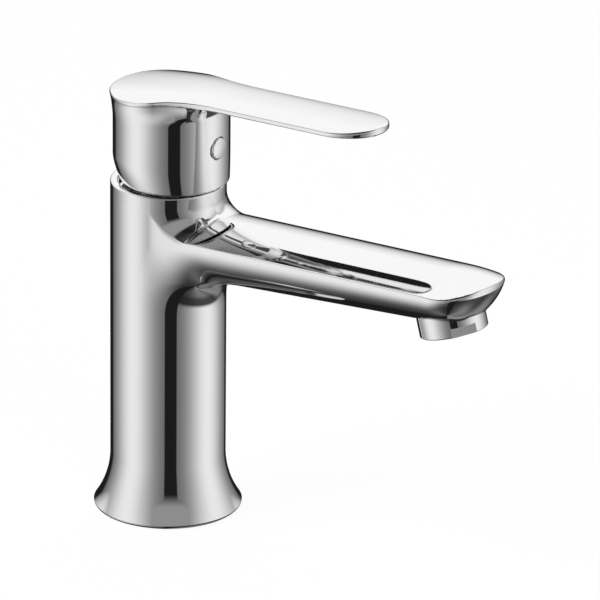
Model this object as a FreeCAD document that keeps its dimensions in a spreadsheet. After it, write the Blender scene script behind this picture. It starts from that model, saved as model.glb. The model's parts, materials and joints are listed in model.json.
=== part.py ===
import FreeCAD, Part
import math
import os
import re
import Sketcher
from FreeCAD import Placement, Rotation, Vector

# Single-lever basin mixer, millimetres. Origin: centre of the foot on the deck. +Z up, spout along +X.

SIZES = {
    # Column and foot
    "foot_radius": 28.3,
    "foot_lip": 1.5,
    "lip_round": 0.8,
    "flare_top": 22,
    "column_radius": 22,
    "rim_height": 132.2,
    "rim_round": 0.8,
    "opening_radius": 19.2,
    "opening_depth": 5.2,
    # Spout
    "deck_drop": 16.23,
    "deck_rise": 2.58,
    "deck_half_width": 20.2,
    "root_narrowing": 1.6,
    "deck_crown": 2.5,
    "spout_reach": 148.6,
    "spout_side_radius": 18,
    "spout_end_radius": 27,
    "spout_end_rake": 11,
    "flank_swell": 1.8,
    "hull_depth": 20.6,
    "hull_rise": 2.5,
    "root_fillet": 7,
    # Water ways of the body
    "chamber_depth": 25.2,
    "nut_seat_height": 12.5,
    "passage_length": 31,
    "channel_drop": 5.8,
    "chamber_radius": 17.7,
    "nut_bore_radius": 18.6,
    "hose_cavity_radius": 17.5,
    "inlet_x": -4,
    "inlet_y": 6.2,
    "inlet_radius": 3.2,
    "inlet_tap_radius": 4.5,
    "inlet_tap_depth": 11,
    "stud_x": 9.5,
    "stud_tap_radius": 3.4,
    "stud_tap_depth": 14,
    "outlet_x": 7.4,
    "outlet_radius": 3.8,
    "outlet_depth": 8.5,
    "channel_tilt": 6.95,
    "channel_radius": 4,
    "channel_length": 113,
    # Foot seal
    "seal_margin": 2.8,
    "seal_width": 4,
    "seal_depth": 2,
    # Cartridge
    "shell_radius": 17.4,
    "shell_bore_radius": 15.6,
    "collar_radius": 14.4,
    "flange_room_radius": 12.6,
    "neck_radius": 10.4,
    "turret_radius": 8.6,
    "running_gap": 0.08,
    "disc_play": 0.1,
    "flange_play": 0.2,
    "collar_roof": 1.8,
    "collar_height": 3.8,
    "neck_height": 11.8,
    "neck_margin": 1.8,
    "base_radius": 15.5,
    "base_height": 4,
    "gasket_radius": 12.4,
    "gasket_height": 1.2,
    "ceramic_height": 3.2,
    "fixed_disc_radius": 14.8,
    "moving_disc_radius": 12,
    "moving_disc_height": 3,
    "disc_rest": -2.26,
    "disc_recess_depth": 1.6,
    "recess_back": -12,
    "recess_step": -7.6,
    "recess_front": 6,
    "recess_half_width": 6,
    "recess_neck_half": 2.6,
    "carrier_radius": 12,
    "carrier_height": 2.6,
    "socket_radius": 3.05,
    "socket_outer_radius": 4.5,
    "socket_play": 0.7,
    "socket_rise": 1.5,
    "slot_headroom": 2.5,
    "flange_radius": 12.4,
    "turret_flange_height": 2.9,
    "travel_slot_half": 7.05,
    "travel_slot_radius": 4.8,
    "stem_slot_half_length": 5.4,
    "stem_slot_half_width": 3.7,
    "o_ring_width": 1.6,
    "o_ring_depth": 0.9,
    "nut_inner_radius": 14.6,
    "nut_radius": 18.5,
    "nut_height": 5,
    "nut_slot_width": 4,
    "nut_slot_depth": 2,
    "stop_inner_radius": 10.5,
    "stop_radius": 14,
    "stop_height": 1.4,
    "stop_tooth_radius": 0.7,
    # Lever
    "pivot_rise": 8.8,
    "turret_crown": 2.6,
    "stem_below": 4,
    "stem_above": 20,
    "hub_gap": 1,
    "pin_radius": 1.5,
    "pin_half_length": 8,
    "pin_gap": 0.05,
    "stem_half": 3.5,
    "stem_arm_length": 13,
    "stem_arm_radius": 2,
    "stem_arm_lean": 10,
    "ball_radius": 2.8,
    "hub_foot_radius": 20.1,
    "hub_foot_x": 2.9,
    "hub_radius": 22,
    "hub_x": 1.75,
    "hub_relief": 10,
    "hub_height": 26.8,
    "cap_radius": 21.3,
    "cap_height": 12.27,
    "cap_x": -1.7,
    "hub_edge_round": 1.5,
    "top_rise": 2.29,
    "top_bend_x": 20,
    "top_bend_radius": 320,
    "top_crown_radius": 83.5,
    "blade_thickness": 3.72,
    "blade_half_width": 14.1,
    "blade_reach": 98.7,
    "blade_side_radius": 21,
    "blade_end_radius": 12.85,
    "blade_root_x": 7.3,
    "blade_root_half_width": 19.2,
    "blade_neck_x": 31.5,
    "blade_neck_radius": 60,
    "hub_bore_x": 1.6,
    "hub_bore_radius": 17.4,
    "boss_half": 6.5,
    "boss_rise": 5.6,
    "roof_thickness": 11.07,
    "stem_fit": 0.05,
    "screw_rise": 16.3,
    "screw_radius": 2.45,
    "screw_length": 8,
    "screw_key": 2.5,
    "screw_key_depth": 3,
    "plug_radius": 4.5,
    "plug_seat": 20.5,
    "plug_length": 4.1,
    "plug_dome": 0.6,
    "plug_gap": 0.05,
    # Aerator
    "aerator_setback": 16.5,
    "aerator_drop": 13.17,
    "aerator_tilt": 15,
    "aerator_radius": 12.9,
    "aerator_round": 0.5,
    "aerator_seat": 8.4,
    "aerator_gap": 0.2,
    "aerator_tap_radius": 12,
    "aerator_thread_radius": 11.9,
    "aerator_thread_top": 12,
    "aerator_bore_radius": 10.2,
    "aerator_lip_radius": 9,
    "aerator_lip": 1.2,
    "flat_turn": -35,
    "flat_depth": 1,
    "flat_height": 3.6,
    "washer_height": 1.2,
    "washer_inner_radius": 8.5,
    "mixing_radius": 9,
    "mixing_height": 3,
    "insert_radius": 10.1,
    "insert_bottom": 2.2,
    "insert_wall": 1.4,
    "insert_floor": 2,
    "insert_hole_radius": 0.9,
    "insert_hole_ring": 6,
    "screen_hole_radius": 0.7,
    "screen_hole_pitch": 2.4,
}

# Levels and radii that follow from the sizes
LEVELS = {
    "seal_outer_radius": "foot_radius - seal_margin",
    "seal_inner_radius": "seal_outer_radius - seal_width",
    "deck_height": "rim_height - deck_drop",
    "chamber_floor": "rim_height - chamber_depth",
    "nut_seat": "chamber_floor + nut_seat_height",
    "hose_cavity_height": "chamber_floor - passage_length",
    "channel_start": "chamber_floor - channel_drop",
    "base_top": "chamber_floor + base_height",
    "fixed_disc_top": "base_top + ceramic_height",
    "carrier_bottom": "fixed_disc_top + moving_disc_height",
    "carrier_top": "carrier_bottom + carrier_height",
    "disc_room_top": "carrier_top + disc_play",
    "flange_bottom": "disc_room_top + flange_play",
    "flange_top": "flange_bottom + turret_flange_height",
    "flange_room_top": "flange_top + flange_play",
    "collar_top": "flange_room_top + collar_roof",
    "shell_shoulder": "collar_top - collar_height",
    "neck_top": "collar_top + neck_height",
    "o_ring_low": "neck_top - neck_margin - o_ring_width",
    "pivot_height": "rim_height + pivot_rise",
    "turret_top": "pivot_height + turret_crown",
    "ball_height": "pivot_height - stem_arm_length",
    "socket_floor": "ball_height - ball_radius - socket_play",
    "socket_top": "ball_height + socket_rise",
    "travel_slot_top": "socket_top + slot_headroom",
    "stem_bottom": "pivot_height - stem_below",
    "stem_top": "pivot_height + stem_above",
    "hub_bottom": "rim_height + hub_gap",
    "hub_shoulder": "hub_bottom + hub_height",
    "top_height": "hub_shoulder + cap_height",
    "blade_under_height": "top_height - blade_thickness",
    "boss_bottom": "pivot_height + boss_rise",
    "hub_bore_top": "top_height - roof_thickness",
    "screw_height": "hub_bottom + screw_rise",
    "aerator_x": "spout_reach - aerator_setback",
    "aerator_height": "deck_height - aerator_drop",
}

doc = FreeCAD.newDocument("basin_mixer")
sheet = doc.addObject("Spreadsheet::Sheet", "Sizes")
for row, (alias, number) in enumerate(SIZES.items(), start=1):
    sheet.set(f"A{row}", alias)
    sheet.set(f"B{row}", str(number))
    sheet.setAlias(f"B{row}", alias)
doc.recompute()


def bound(text):
    """Expression text with every size led back to the sheet and every level to its sizes."""
    def led(hit):
        name = hit[0]
        if name in LEVELS:
            return f"({bound(LEVELS[name])})"
        return "Sizes." + name if name in SIZES else name
    return re.sub(r"[a-z_]+", led, str(text))


def value(text):
    """Number that an expression over the sizes has now."""
    return float(sheet.evalExpression(bound(text).replace("Sizes.", "")))


def bind(thing, **expressions):
    """Tie properties to expressions; a double underscore stands for a dot."""
    for name, text in expressions.items():
        thing.setExpression(name.replace("__", "."), bound(text))


# Sketches

def new_body(label):
    made = doc.addObject("PartDesign::Body", label)
    made.Label = label
    return made


def sketch_on(owner, role, turn_axis=Vector(0, 0, 1), **offset):
    """Sketch on an origin plane; the offset names x, y, z and turn in the sketch's own frame."""
    drawn = owner.newObject("Sketcher::SketchObject", "Outline")
    drawn.AttachmentSupport = [(next(p for p in owner.Origin.OriginFeatures if p.Role == role), "")]
    drawn.MapMode = "FlatFace"
    if "turn" in offset:
        drawn.AttachmentOffset = Placement(Vector(), Rotation(turn_axis, value(offset["turn"])))
        bind(drawn, AttachmentOffset__Rotation__Angle=offset.pop("turn"))
    for axis, text in offset.items():
        drawn.setExpression(f"AttachmentOffset.Base.{axis}", bound(text))
    return drawn


def limit(drawn, kind, *ends_and_text):
    *ends, text = ends_and_text
    index = drawn.addConstraint(Sketcher.Constraint(kind, *ends, value(text)))
    drawn.setExpression(f"Constraints[{index}]", bound(text))


def place(drawn, geometry, end, x, y):
    for kind, axis, text in (("DistanceX", -2, x), ("DistanceY", -1, y)):
        if str(text) == "0":
            drawn.addConstraint(Sketcher.Constraint("PointOnObject", geometry, end, axis))
        else:
            limit(drawn, kind, -1, 1, geometry, end, text)


def outline(drawn, corners):
    """Closed outline; a corner is (x, y), or (x, y, radius, turn) where an arc arrives at it.

    A turn of 2 is a half circle that ends straight above or below its centre.
    """
    spots = [Vector(value(corner[0]), value(corner[1]), 0) for corner in corners]
    edges = []
    for index, corner in enumerate(corners):
        start, stop = spots[index - 1], spots[index]
        if len(corner) == 2:
            edges.append((drawn.addGeometry(Part.LineSegment(start, stop), False), 1, 2))
            continue
        radius, turn = value(corner[2]), corner[3]
        first, last = (start, stop) if turn > 0 else (stop, start)
        chord = last - first
        left = Vector(-chord.y, chord.x, 0).normalize()
        centre = (first + last) / 2 + left * math.sqrt(max(radius ** 2 - chord.Length ** 2 / 4, 0))
        angles = [math.atan2(spot.y - centre.y, spot.x - centre.x) for spot in (first, last)]
        arc = Part.ArcOfCircle(Part.Circle(centre, Vector(0, 0, 1), radius), *angles)
        edge = drawn.addGeometry(arc, False)
        edges.append((edge, 1, 2) if turn > 0 else (edge, 2, 1))
        if turn == 2:
            limit(drawn, "DistanceX", -1, 1, edge, 3, corner[0])
        else:
            limit(drawn, "Radius", edge, corner[2])
    for index, (edge, _, end) in enumerate(edges):
        following, begin, _ = edges[(index + 1) % len(edges)]
        drawn.addConstraint(Sketcher.Constraint("Coincident", edge, end, following, begin))
        place(drawn, edge, end, *corners[index][:2])
    return drawn


def circle(drawn, radius, x="0", y="0"):
    centre = Vector(value(x), value(y), 0)
    ring = drawn.addGeometry(Part.Circle(centre, Vector(0, 0, 1), value(radius)), False)
    limit(drawn, "Radius", ring, radius)
    place(drawn, ring, 3, x, y)
    return drawn


def rectangle(drawn, x_low, x_high, y_low, y_high):
    return outline(drawn, [(x_low, y_low), (x_high, y_low), (x_high, y_high), (x_low, y_high)])


def slot(drawn, half_length, radius):
    """Slot with round ends along the sketch's x axis."""
    run = f"({half_length} - {radius})"
    return outline(drawn, [
        (f"-{run}", f"-{radius}", radius, 2),
        (run, f"-{radius}"),
        (run, radius, radius, 2),
        (f"-{run}", radius),
    ])


def tongue_end(half_width, side_radius, end_radius, reach):
    """Corners of a rounded end: side, corner arc, end arc, corner arc, side."""
    lean = f"(({half_width} - {side_radius}) / ({end_radius} - {side_radius}))"
    along = f"sqrt(1 - {lean}^2)"
    side_x = f"{reach} - {end_radius} + ({end_radius} - {side_radius}) * {along}"
    arc_x = f"{reach} - {end_radius} + {end_radius} * {along}"
    arc_y = f"{end_radius} * {lean}"
    return [
        (side_x, half_width),
        (arc_x, arc_y, side_radius, -1),
        (arc_x, f"-{arc_y}", end_radius, -1),
        (side_x, f"-{half_width}", side_radius, -1),
    ]


# Features

def feature(owner, kind, drawn, backward=False, axis="V_Axis", **expressions):
    made = owner.newObject("PartDesign::" + kind, kind)
    made.Profile = drawn
    made.Reversed = backward
    if kind in ("Revolution", "Groove"):
        made.ReferenceAxis = (drawn, [axis])
        made.Angle = 360
    bind(made, **expressions)
    drawn.Visibility = False
    doc.recompute()
    return made


def loft(owner, sections):
    made = owner.newObject("PartDesign::AdditiveLoft", "Loft")
    made.Profile = sections[0]
    made.Sections = sections[1:]
    doc.recompute()
    return made


def repeat(owner, count):
    """Copies of the last feature round the Z axis."""
    made = owner.newObject("PartDesign::PolarPattern", "Pattern")
    made.Originals = [owner.Tip]
    made.Axis = (next(p for p in owner.Origin.OriginFeatures if p.Role == "Z_Axis"), [""])
    made.Angle = 360
    made.Occurrences = count
    owner.Tip = made
    doc.recompute()
    return made


def round_edges(owner, radius, chosen):
    """Fillet on the edges of the tip for which the test holds."""
    tip = owner.Tip
    names = [f"Edge{n}" for n, edge in enumerate(tip.Shape.Edges, start=1) if chosen(edge)]
    made = owner.newObject("PartDesign::Fillet", "Round")
    made.Base = (tip, names)
    bind(made, Radius=radius)
    doc.recompute()
    return made


def turned(label, corners, **offset):
    """Body of revolution about Z from (radius, height) corners."""
    made = new_body(label)
    feature(made, "Revolution", outline(sketch_on(made, "XZ_Plane", **offset), corners))
    return made


def bore(owner, radius, height, depth, spots=(("0", "0"),), upward=False):
    """Round pocket at each spot, starting at a height."""
    drawn = sketch_on(owner, "XY_Plane", z=height)
    for x, y in spots:
        circle(drawn, radius, x, y)
    return feature(owner, "Pocket", drawn, backward=upward, Length=depth)


def aerator_place(made):
    made.Placement = Placement(Vector(), Rotation(Vector(0, -1, 0), value("aerator_tilt")))
    bind(made, Placement__Base__x="aerator_x", Placement__Base__z="aerator_height")
    bind(made, Placement__Rotation__Angle="aerator_tilt")


# Body

INLETS = (("inlet_x", "inlet_y"), ("inlet_x", "-inlet_y"))
OUTLET = (("outlet_x", "0"),)


def hull_section(owner, depth):
    """Level of the hull at a share of its depth below the deck edge."""
    narrowing = math.sqrt(1 - max(depth, 0) ** 2)
    swell = max(16 * depth * (0.5 - depth), 0)
    drawn = sketch_on(
        owner, "XY_Plane", Vector(0, -1, 0),
        turn=f"deck_rise + hull_rise * {max(depth, 0)}", z=f"deck_height - hull_depth * {depth}")
    side, end = (f"{name} * {narrowing:.4f}" for name in ("spout_side_radius", "spout_end_radius"))
    half_width = f"(deck_half_width * {narrowing:.4f} + flank_swell * {0.4 * swell:.4f})"
    reach = f"(spout_reach + flank_swell * {0.3 * swell:.4f} - spout_end_rake * {1 - narrowing:.4f})"
    root = f"({half_width} - root_narrowing)"
    corners = tongue_end(half_width, side, end, reach)
    return outline(drawn, [("0", root)] + corners + [("0", f"-{root}")])


def crown_cut(owner, drawn, top, radius, half_width):
    """Region above a crown arc whose top is at a height of the sketch."""
    edge = f"({top} - {radius} + sqrt({radius}^2 - {half_width}^2))"
    return outline(drawn, [
        (f"-{half_width}", edge),
        (half_width, edge, radius, -1),
        (half_width, f"{top} + 15"),
        (f"-{half_width}", f"{top} + 15"),
    ])


def make_faucet_body():
    made = new_body("faucet_body")
    loft(made, [hull_section(made, depth) for depth in (-0.16, 0, 0.12, 0.3, 0.55, 0.8, 0.97)])
    drawn = sketch_on(made, "YZ_Plane", Vector(-1, 0, 0), turn="deck_rise")
    crown_radius = "((deck_half_width^2 + deck_crown^2) / (2 * deck_crown))"
    crown_cut(made, drawn, "(deck_height + deck_crown)", crown_radius, "26")
    feature(made, "Pocket", drawn, backward=True, Length="spout_reach + 20")

    drawn = sketch_on(made, "XY_Plane", turn="180", z="flare_top")
    feature(made, "Pad", circle(drawn, "column_radius"), Length="rim_height - rim_round - flare_top")

    def meets_column(edge):
        box = edge.BoundBox
        level = value("hose_cavity_height") < box.ZMin and box.ZMax < value("rim_height - opening_depth")
        ahead = box.XMin > 0 and box.XMax < value("column_radius") + 0.1
        return level and ahead and edge.Curve.TypeId != "Part::GeomLine"

    round_edges(made, "root_fillet", meets_column)

    spread, rise = "(foot_radius - column_radius)", "(flare_top - foot_lip)"
    feature(made, "Revolution", outline(sketch_on(made, "XZ_Plane"), [
        ("0", "0"),
        ("foot_radius - lip_round", "0"),
        ("foot_radius", "lip_round", "lip_round", 1),
        ("foot_radius", "foot_lip"),
        ("column_radius", "flare_top", f"({spread}^2 + {rise}^2) / (2 * {spread})", -1),
        ("0", "flare_top"),
    ]))
    feature(made, "Revolution", outline(sketch_on(made, "XZ_Plane"), [
        ("0", "rim_height - rim_round"),
        ("column_radius", "rim_height - rim_round"),
        ("column_radius - rim_round", "rim_height", "rim_round", 1),
        ("0", "rim_height"),
    ]))

    feature(made, "Groove", outline(sketch_on(made, "XZ_Plane"), [
        ("0", "chamber_floor"),
        ("chamber_radius", "chamber_floor"),
        ("chamber_radius", "nut_seat"),
        ("nut_bore_radius", "nut_seat"),
        ("nut_bore_radius", "rim_height - opening_depth"),
        ("opening_radius", "rim_height - opening_depth"),
        ("opening_radius", "rim_height + 1"),
        ("0", "rim_height + 1"),
    ]))
    drawn = sketch_on(made, "XZ_Plane")
    feature(made, "Groove", rectangle(drawn, "0", "hose_cavity_radius", "-1", "hose_cavity_height"))
    drawn = sketch_on(made, "XZ_Plane")
    feature(made, "Groove", rectangle(drawn, "seal_inner_radius", "seal_outer_radius", "-1", "seal_depth"))
    bore(made, "inlet_radius", "chamber_floor", "chamber_floor - hose_cavity_height", INLETS)
    bore(made, "inlet_tap_radius", "hose_cavity_height", "inlet_tap_depth", INLETS, upward=True)
    bore(made, "stud_tap_radius", "hose_cavity_height", "stud_tap_depth", (("stud_x", "0"),), upward=True)
    bore(made, "outlet_radius", "chamber_floor", "outlet_depth", OUTLET)
    drawn = sketch_on(
        made, "YZ_Plane", Vector(-1, 0, 0), turn="channel_tilt", z="outlet_x", y="channel_start")
    feature(made, "Pocket", circle(drawn, "channel_radius"), backward=True, Length="channel_length")
    washer_top = "aerator_thread_top + washer_height"
    drawn = sketch_on(made, "XZ_Plane", turn="aerator_tilt", x="aerator_x", y="aerator_height")
    feature(made, "Groove", outline(drawn, [
        ("0", "-6"),
        ("aerator_radius + aerator_gap", "-6"),
        ("aerator_radius + aerator_gap", "aerator_seat"),
        ("aerator_tap_radius", "aerator_seat"),
        ("aerator_tap_radius", washer_top),
        ("mixing_radius", washer_top),
        ("mixing_radius", f"{washer_top} + mixing_height"),
        ("0", f"{washer_top} + mixing_height"),
    ]))
    return made


def make_base_seal():
    return turned("base_seal", [
        ("seal_inner_radius", "0"),
        ("seal_outer_radius", "0"),
        ("seal_outer_radius", "seal_depth"),
        ("seal_inner_radius", "seal_depth"),
    ])


# Cartridge

def make_cartridge_housing():
    bore_radius = "turret_radius + running_gap"
    return turned("cartridge_housing", [
        ("shell_bore_radius", "chamber_floor"),
        ("shell_radius", "chamber_floor"),
        ("shell_radius", "shell_shoulder"),
        ("collar_radius", "shell_shoulder"),
        ("collar_radius", "collar_top"),
        ("neck_radius", "collar_top"),
        ("neck_radius", "neck_top"),
        (bore_radius, "neck_top"),
        (bore_radius, "flange_room_top"),
        ("flange_room_radius", "flange_room_top"),
        ("flange_room_radius", "disc_room_top"),
        ("shell_bore_radius", "disc_room_top"),
    ])


def make_cartridge_base():
    made = turned("cartridge_base", [
        ("0", "chamber_floor + gasket_height"),
        ("gasket_radius", "chamber_floor + gasket_height"),
        ("gasket_radius", "chamber_floor"),
        ("base_radius", "chamber_floor"),
        ("base_radius", "base_top"),
        ("gasket_radius", "base_top"),
        ("gasket_radius", "base_top - gasket_height"),
        ("0", "base_top - gasket_height"),
    ])
    bore(made, "inlet_radius", "base_top", "base_height", INLETS)
    bore(made, "outlet_radius", "base_top", "base_height", OUTLET)
    return made


def ported_plate(label, radius, bottom, height):
    """Round plate with the two inlet ports and the outlet port."""
    made = new_body(label)
    drawn = circle(sketch_on(made, "XY_Plane", z=bottom), radius)
    for x, y in INLETS:
        circle(drawn, "inlet_radius", x, y)
    for x, y in OUTLET:
        circle(drawn, "outlet_radius", x, y)
    feature(made, "Pad", drawn, Length=height)
    return made


def make_moving_ceramic_disc():
    made = new_body("moving_ceramic_disc")
    drawn = circle(sketch_on(made, "XY_Plane", z="fixed_disc_top"), "moving_disc_radius", "disc_rest")
    feature(made, "Pad", drawn, Length="moving_disc_height")
    feature(made, "Pocket", outline(sketch_on(made, "XY_Plane", z="fixed_disc_top"), [
        ("recess_back", "-recess_half_width"),
        ("recess_step", "-recess_half_width"),
        ("recess_step", "-recess_neck_half"),
        ("recess_front", "-recess_neck_half"),
        ("recess_front", "recess_neck_half"),
        ("recess_step", "recess_neck_half"),
        ("recess_step", "recess_half_width"),
        ("recess_back", "recess_half_width"),
    ]), backward=True, Length="disc_recess_depth")
    return made


def make_disc_carrier():
    return turned("disc_carrier", [
        ("0", "carrier_bottom"),
        ("carrier_radius", "carrier_bottom"),
        ("carrier_radius", "carrier_top"),
        ("socket_outer_radius", "carrier_top"),
        ("socket_outer_radius", "socket_top"),
        ("socket_radius", "socket_top"),
        ("socket_radius", "socket_floor"),
        ("0", "socket_floor"),
    ], x="disc_rest")


def make_lever_turret():
    groove_radius, groove_top = "turret_radius - o_ring_depth", "o_ring_low + o_ring_width"
    made = turned("lever_turret", [
        ("0", "flange_bottom"),
        ("flange_radius", "flange_bottom"),
        ("flange_radius", "flange_top"),
        ("turret_radius", "flange_top"),
        ("turret_radius", "o_ring_low"),
        (groove_radius, "o_ring_low"),
        (groove_radius, groove_top),
        ("turret_radius", groove_top),
        ("turret_radius", "turret_top"),
        ("0", "turret_top"),
    ])
    drawn = slot(sketch_on(made, "XY_Plane", z="flange_bottom"), "travel_slot_half", "travel_slot_radius")
    feature(made, "Pocket", drawn, backward=True, Length="travel_slot_top - flange_bottom")
    drawn = sketch_on(made, "XY_Plane", z="turret_top")
    half_length, half_width = "stem_slot_half_length", "stem_slot_half_width"
    rectangle(drawn, f"-{half_length}", half_length, f"-{half_width}", half_width)
    feature(made, "Pocket", drawn, Length="turret_top - travel_slot_top")
    drawn = circle(sketch_on(made, "XZ_Plane", z="turret_radius + 1"), "pin_radius", "0", "pivot_height")
    feature(made, "Pocket", drawn, Length="2 * turret_radius + 2")
    return made


def make_turret_seal():
    return turned("turret_seal", [
        ("turret_radius - o_ring_depth", "o_ring_low"),
        ("turret_radius + running_gap / 2", "o_ring_low"),
        ("turret_radius + running_gap / 2", "o_ring_low + o_ring_width"),
        ("turret_radius - o_ring_depth", "o_ring_low + o_ring_width"),
    ])


def make_stem_pin():
    made = new_body("stem_pin")
    drawn = circle(sketch_on(made, "XZ_Plane", z="pin_half_length"), "pin_radius", "0", "pivot_height")
    feature(made, "Pad", drawn, backward=True, Length="2 * pin_half_length")
    return made


def make_retaining_nut():
    nut_top = "shell_shoulder + nut_height"
    made = turned("retaining_nut", [
        ("nut_inner_radius", "shell_shoulder"),
        ("nut_radius", "shell_shoulder"),
        ("nut_radius", nut_top),
        ("nut_inner_radius", nut_top),
    ])
    drawn = sketch_on(made, "XY_Plane", z=nut_top)
    rectangle(drawn, "nut_inner_radius - 1", "nut_radius + 1", "-nut_slot_width / 2", "nut_slot_width / 2")
    feature(made, "Pocket", drawn, Length="nut_slot_depth")
    repeat(made, 4)
    return made


def make_temperature_stop_ring():
    stop_top = "collar_top + stop_height"
    made = turned("temperature_stop_ring", [
        ("stop_inner_radius", "collar_top"),
        ("stop_radius", "collar_top"),
        ("stop_radius", stop_top),
        ("stop_inner_radius", stop_top),
    ])
    bore(made, "stop_tooth_radius", stop_top, "stop_height", (("stop_radius", "0"),))
    repeat(made, 24)
    return made


# Lever

def make_lever_stem():
    block = doc.addObject("Part::Box", "stem_block")
    bind(block, Length="2 * stem_half", Width="2 * stem_half", Height="stem_top - stem_bottom")
    bind(block, Placement__Base__x="-stem_half", Placement__Base__y="-stem_half")
    bind(block, Placement__Base__z="stem_bottom")
    arm = doc.addObject("Part::Cylinder", "stem_arm")
    arm.Placement = Placement(Vector(), Rotation(Vector(0, 1, 0), 180))
    bind(arm, Radius="stem_arm_radius", Height="stem_arm_length")
    bind(arm, Placement__Base__z="pivot_height", Placement__Rotation__Angle="180 + stem_arm_lean")
    ball = doc.addObject("Part::Sphere", "stem_ball")
    bind(ball, Radius="ball_radius", Placement__Base__x="-stem_arm_length * sin(stem_arm_lean)")
    bind(ball, Placement__Base__z="pivot_height - stem_arm_length * cos(stem_arm_lean)")
    solid = doc.addObject("Part::MultiFuse", "stem_solid")
    solid.Shapes = [block, arm, ball]
    hole = doc.addObject("Part::Cylinder", "stem_hole")
    hole.Placement = Placement(Vector(), Rotation(Vector(1, 0, 0), 90))
    bind(hole, Radius="pin_radius + pin_gap", Height="2 * stem_half + 2")
    bind(hole, Placement__Base__y="stem_half + 1", Placement__Base__z="pivot_height")
    made = doc.addObject("Part::Cut", "lever_stem")
    made.Base = solid
    made.Tool = hole
    made.Label = "lever_stem"
    doc.recompute()
    return made


def cap_sketch(owner):
    """Region above the handle's crown, on the plane where its straight and bent runs meet."""
    drawn = sketch_on(
        owner, "YZ_Plane", Vector(-1, 0, 0), turn="top_rise",
        z="top_bend_x + top_bend_radius * sin(top_rise)", y="top_height - top_bend_radius * cos(top_rise)")
    return crown_cut(owner, drawn, "top_bend_radius", "top_crown_radius", "30")


def make_lever_handle():
    made = new_body("lever_handle")
    sections = []
    for height, radius, x in (
            ("hub_bottom", "hub_foot_radius", "hub_foot_x"),
            (
                "hub_bottom + hub_relief / 2",
                "(hub_foot_radius + hub_radius) / 2",
                "(hub_foot_x + hub_x) / 2",
            ),
            ("hub_bottom + hub_relief", "hub_radius", "hub_x"),
            ("hub_shoulder", "hub_radius", "hub_x"),
            ("top_height - 3", "cap_radius", "cap_x"),
            ("top_height + 2", "cap_radius", "cap_x")):
        sections.append(circle(sketch_on(made, "XY_Plane", z=height), radius, x))
    loft(made, sections)

    drawn = sketch_on(made, "XY_Plane", Vector(0, -1, 0), turn="top_rise", z="blade_under_height")
    corners = [
        ("blade_root_x", "blade_root_half_width"),
        ("blade_neck_x", "blade_half_width", "blade_neck_radius", 1),
        *tongue_end("blade_half_width", "blade_side_radius", "blade_end_radius", "blade_reach"),
        ("blade_neck_x", "-blade_half_width"),
        ("blade_root_x", "-blade_root_half_width", "blade_neck_radius", 1),
    ]
    feature(made, "Pad", outline(drawn, corners), Length="12")
    feature(made, "Pocket", cap_sketch(made), backward=True, Length="blade_reach")
    feature(made, "Groove", cap_sketch(made), backward=True, axis="H_Axis", Angle="9")

    round_edges(made, "hub_edge_round", lambda edge: edge.BoundBox.ZMax < value("hub_bottom") + 0.01)

    spots = (("hub_bore_x", "0"),)
    bore(made, "hub_bore_radius", "hub_bottom", "boss_bottom - hub_bottom", spots, upward=True)
    wall_x = "hub_bore_x + sqrt(hub_bore_radius^2 - boss_half^2)"
    feature(made, "Pocket", outline(sketch_on(made, "XY_Plane", z="boss_bottom"), [
        (wall_x, "boss_half"),
        ("hub_bore_x - hub_bore_radius", "0", "hub_bore_radius", 1),
        (wall_x, "-boss_half", "hub_bore_radius", 1),
        ("-boss_half", "-boss_half"),
        ("-boss_half", "boss_half"),
    ]), backward=True, Length="hub_bore_top - boss_bottom")
    half = "(stem_half + stem_fit)"
    drawn = rectangle(sketch_on(made, "XY_Plane", z="boss_bottom"), f"-{half}", half, f"-{half}", half)
    feature(made, "Pocket", drawn, backward=True, Length="stem_top + stem_fit - boss_bottom")
    front = "hub_x + hub_radius + 5"
    for radius, seat in (("screw_radius + stem_fit", "stem_half"), ("plug_radius + plug_gap", "plug_seat")):
        drawn = circle(sketch_on(made, "YZ_Plane", z=front), radius, "0", "screw_height")
        feature(made, "Pocket", drawn, Length=f"{front} - {seat}")
    return made


def make_grub_screw():
    made = new_body("grub_screw")
    drawn = circle(sketch_on(made, "YZ_Plane", z="stem_half"), "screw_radius", "0", "screw_height")
    feature(made, "Pad", drawn, Length="screw_length")
    corners = []
    reach = "screw_key / sqrt(3)"
    for turn in range(0, 360, 60):
        corners.append((f"{reach} * cos({turn})", f"screw_height + {reach} * sin({turn})"))
    drawn = outline(sketch_on(made, "YZ_Plane", z="stem_half + screw_length"), corners)
    feature(made, "Pocket", drawn, Length="screw_key_depth")
    return made


def make_index_plug():
    made = new_body("index_plug")
    drawn = sketch_on(made, "XZ_Plane", y="screw_height")
    dome_radius = "(plug_radius^2 + plug_dome^2) / (2 * plug_dome)"
    feature(made, "Revolution", outline(drawn, [
        ("plug_seat", "0"),
        ("plug_seat + plug_length", "0"),
        ("plug_seat + plug_length - plug_dome", "plug_radius", dome_radius, 1),
        ("plug_seat", "plug_radius"),
    ]), axis="H_Axis")
    return made


# Aerator, drawn upright and then leaned into the spout

def make_aerator_housing():
    made = turned("aerator_housing", [
        ("aerator_lip_radius", "0"),
        ("aerator_radius - aerator_round", "0"),
        ("aerator_radius", "aerator_round", "aerator_round", 1),
        ("aerator_radius", "aerator_seat"),
        ("aerator_thread_radius", "aerator_seat"),
        ("aerator_thread_radius", "aerator_thread_top"),
        ("aerator_bore_radius", "aerator_thread_top"),
        ("aerator_bore_radius", "aerator_lip"),
        ("aerator_lip_radius", "aerator_lip"),
    ])
    drawn = sketch_on(made, "XY_Plane", turn="flat_turn")
    rectangle(drawn, "aerator_radius - flat_depth", "aerator_radius + 1", "-8", "8")
    feature(made, "Pocket", drawn, backward=True, Length="flat_height")
    repeat(made, 2)
    return made


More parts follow.
